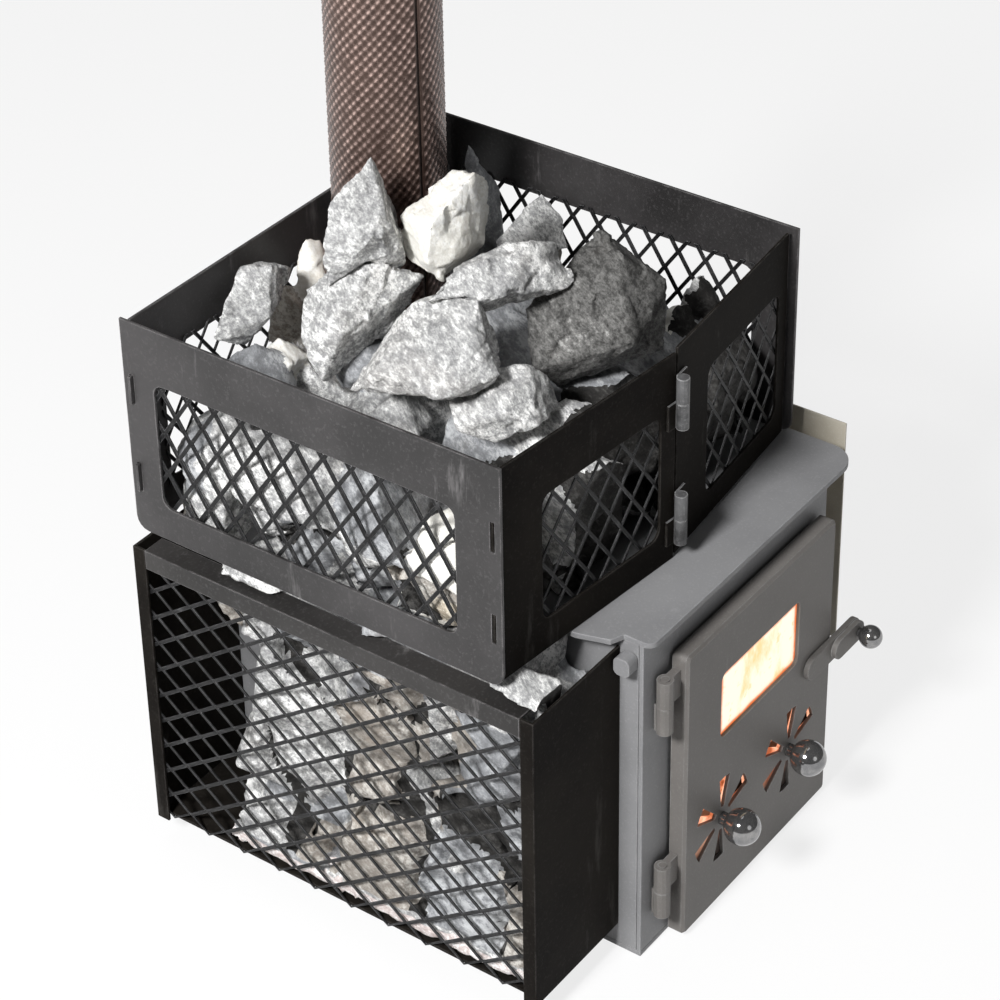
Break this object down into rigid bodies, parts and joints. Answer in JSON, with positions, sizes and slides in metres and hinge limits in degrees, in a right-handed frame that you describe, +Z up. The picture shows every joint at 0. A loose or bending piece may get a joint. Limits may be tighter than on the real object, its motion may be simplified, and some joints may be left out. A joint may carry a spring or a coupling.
{
  "type": "sauna heater stove",
  "caption": "Wood-burning sauna heater with a hinged glazed fire door, spinner air dampers, an expanded-metal stone basket with its own door, a side stone cage and a sleeved flue pipe.",
  "frame": {"origin": "on the floor under the firebox, in the flue's centre plane, level with the middle of the stone basket front to back", "axes": "+X right when facing the fire door, -Y towards the front, +Z up"},
  "size_m": [0.545, 0.573, 1],
  "materials": {
    "painted_plate": "grey heat-proof enamel, satin",
    "door_paint": "dark grey heat-proof enamel, satin",
    "raw_plate": "dark grey heat-proof enamel, satin",
    "black_plate": "black heat-proof enamel, satin",
    "mesh_steel": "expanded sheet in dark enamel",
    "sleeve_steel": "heat-tinted steel with a fine knurl",
    "shield_sheet": "beige heat-proof enamel",
    "cast_iron": "bare cast iron",
    "hot_glass": "clear ceramic glass lit by the fire",
    "rope": "woven mineral rope",
    "ball_steel": "polished dark steel",
    "granite": "rough broken granite"
  },
  "bodies": {
    "stove": {"floor_plate": "painted_plate", "left_wall": "painted_plate", "right_wall": "painted_plate", "back_wall": "painted_plate", "front_frame": "painted_plate", "top_plate": "painted_plate", "cage_peg": "painted_plate", "door_hinge_lower_pin_half": "painted_plate", "door_hinge_upper_pin_half": "painted_plate", "flue_pipe": "raw_plate", "basket_left_panel": "raw_plate", "basket_right_panel": "raw_plate", "basket_back_panel": "raw_plate", "basket_hinge_lower_pin_half": "raw_plate", "basket_hinge_upper_pin_half": "raw_plate", "cage_top_rail": "raw_plate", "basket_front_panel": "black_plate", "cage_front_plate": "black_plate", "cage_back_plate": "black_plate", "cage_floor": "black_plate", "basket_left_mesh": "mesh_steel", "basket_right_mesh": "mesh_steel", "basket_back_mesh": "mesh_steel", "basket_front_mesh": "mesh_steel", "cage_mesh": "mesh_steel", "pipe_sleeve": "sleeve_steel", "heat_shield": "shield_sheet", "shield_bracket_front": "shield_sheet", "shield_bracket_rear": "shield_sheet", "fire_grate": "cast_iron", "smoke_baffle": "cast_iron", "flue_collar": "cast_iron", "basket_stone_bed": "granite", "cage_stone_pile": "granite", "top_stone_1": "granite", "top_stone_2": "granite", "top_stone_3": "granite", "top_stone_4": "granite", "top_stone_5": "granite", "top_stone_6": "granite", "top_stone_7": "granite", "top_stone_8": "granite"},
    "fire_door": {"door_shell": "door_paint", "door_liner": "cast_iron", "window_glass": "hot_glass", "glass_retainer": "raw_plate", "door_rope_seal": "rope", "door_hinge_lower_door_half": "door_paint", "door_hinge_upper_door_half": "door_paint"},
    "latch": {"latch_lever": "raw_plate", "latch_knob": "ball_steel", "latch_tongue": "raw_plate"},
    "damper_left": {"damper_disc_left": "cast_iron", "damper_knob_left": "ball_steel"},
    "damper_right": {"damper_disc_right": "cast_iron", "damper_knob_right": "ball_steel"},
    "basket_door": {"basket_door_panel": "black_plate", "basket_door_mesh": "mesh_steel", "basket_hinge_lower_door_half": "raw_plate", "basket_hinge_upper_door_half": "raw_plate"}
  },
  "joints": [
    {"name": "fire_door_swing", "type": "hinge", "parent": "stove", "child": "fire_door", "pos_m": [-0.1555, -0.297, 0.18], "axis": [0, 0, -1], "range_deg": [0, 120]},
    {"name": "latch_turn", "type": "hinge", "parent": "fire_door", "child": "latch", "pos_m": [0.0975, -0.31, 0.194], "axis": [0, -1, 0], "range_deg": [0, 75]},
    {"name": "damper_left_turn", "type": "hinge", "parent": "fire_door", "child": "damper_left", "pos_m": [-0.06653, -0.31, 0.111], "axis": [0, -1, 0], "range_deg": [-21, 9]},
    {"name": "damper_right_turn", "type": "hinge", "parent": "fire_door", "child": "damper_right", "pos_m": [0.06053, -0.31, 0.111], "axis": [0, -1, 0], "range_deg": [-21, 9]},
    {"name": "basket_door_swing", "type": "hinge", "parent": "stove", "child": "basket_door", "pos_m": [-0.052, -0.2455, 0.5], "axis": [0, 0, -1], "range_deg": [0, 110]}
  ]
}
